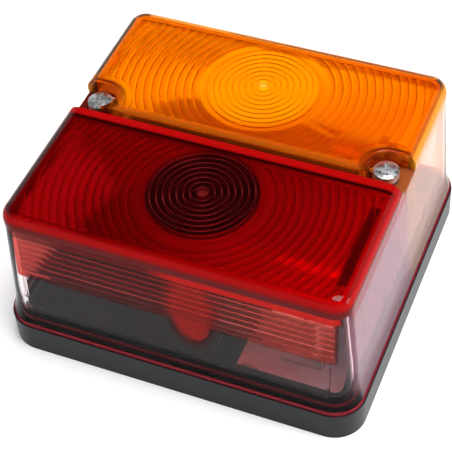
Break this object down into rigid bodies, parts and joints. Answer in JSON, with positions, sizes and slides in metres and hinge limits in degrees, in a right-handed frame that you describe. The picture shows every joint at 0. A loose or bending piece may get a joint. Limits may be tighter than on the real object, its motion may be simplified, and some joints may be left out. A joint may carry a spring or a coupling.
{
  "type": "tail light cluster",
  "caption": "Rectangular rear lamp: red tail and stop lens and amber indicator lens with moulded rings, on a clear body with a ribbed side window, over a black screw-on base.",
  "frame": {"origin": "middle of the base's back, on the surface that the lamp is screwed to", "axes": "+X along the ribbed window, with the bulb holders on the +X side; +Y from the window to the amber side; +Z out of the vehicle, through the coloured lenses"},
  "size_m": [0.106, 0.098, 0.052],
  "materials": {
    "black_plastic": "moulded black plastic with a fine satin grain",
    "clear_plastic": "clear acrylic, polished",
    "red_plastic": "transparent red acrylic, polished outside, ringed inside",
    "amber_plastic": "transparent amber acrylic, polished outside, ringed inside",
    "seal_rubber": "black rubber",
    "zinc_steel": "bright zinc-plated steel",
    "sheet_steel": "galvanised sheet",
    "brass": "rolled brass, slightly tarnished",
    "nickel_brass": "nickel-plated brass",
    "board": "brown laminated board",
    "bulb_glass": "clear blown glass",
    "tungsten": "drawn tungsten wire",
    "black_glass": "black vitreous insulator",
    "solder": "solder"
  },
  "bodies": {
    "root": {"base": "black_plastic", "base_gasket": "seal_rubber", "cable_grommet": "seal_rubber", "lens_body": "clear_plastic", "red_lens": "red_plastic", "amber_lens": "amber_plastic", "lens_screw_left": "zinc_steel", "lens_screw_right": "zinc_steel", "screw_seal_left": "seal_rubber", "screw_seal_right": "seal_rubber", "divider": "sheet_steel", "holder_plate": "sheet_steel", "plate_rivets": "zinc_steel", "earth_blade": "brass", "tail_bracket": "sheet_steel", "tail_rivets": "zinc_steel", "tail_holder": "zinc_steel", "tail_block": "board", "tail_contact": "brass", "stop_contact": "brass", "tail_bulb_glass": "bulb_glass", "tail_bulb_cap": "nickel_brass", "tail_bulb_filaments": "tungsten", "tail_bulb_insulator": "black_glass", "tail_bulb_contacts": "solder", "indicator_bracket": "sheet_steel", "indicator_rivets": "zinc_steel", "indicator_holder": "zinc_steel", "indicator_block": "board", "indicator_contact": "brass", "indicator_bulb_glass": "bulb_glass", "indicator_bulb_cap": "nickel_brass", "indicator_bulb_filament": "tungsten", "indicator_bulb_insulator": "black_glass", "indicator_bulb_contact": "solder"}
  },
  "joints": []
}
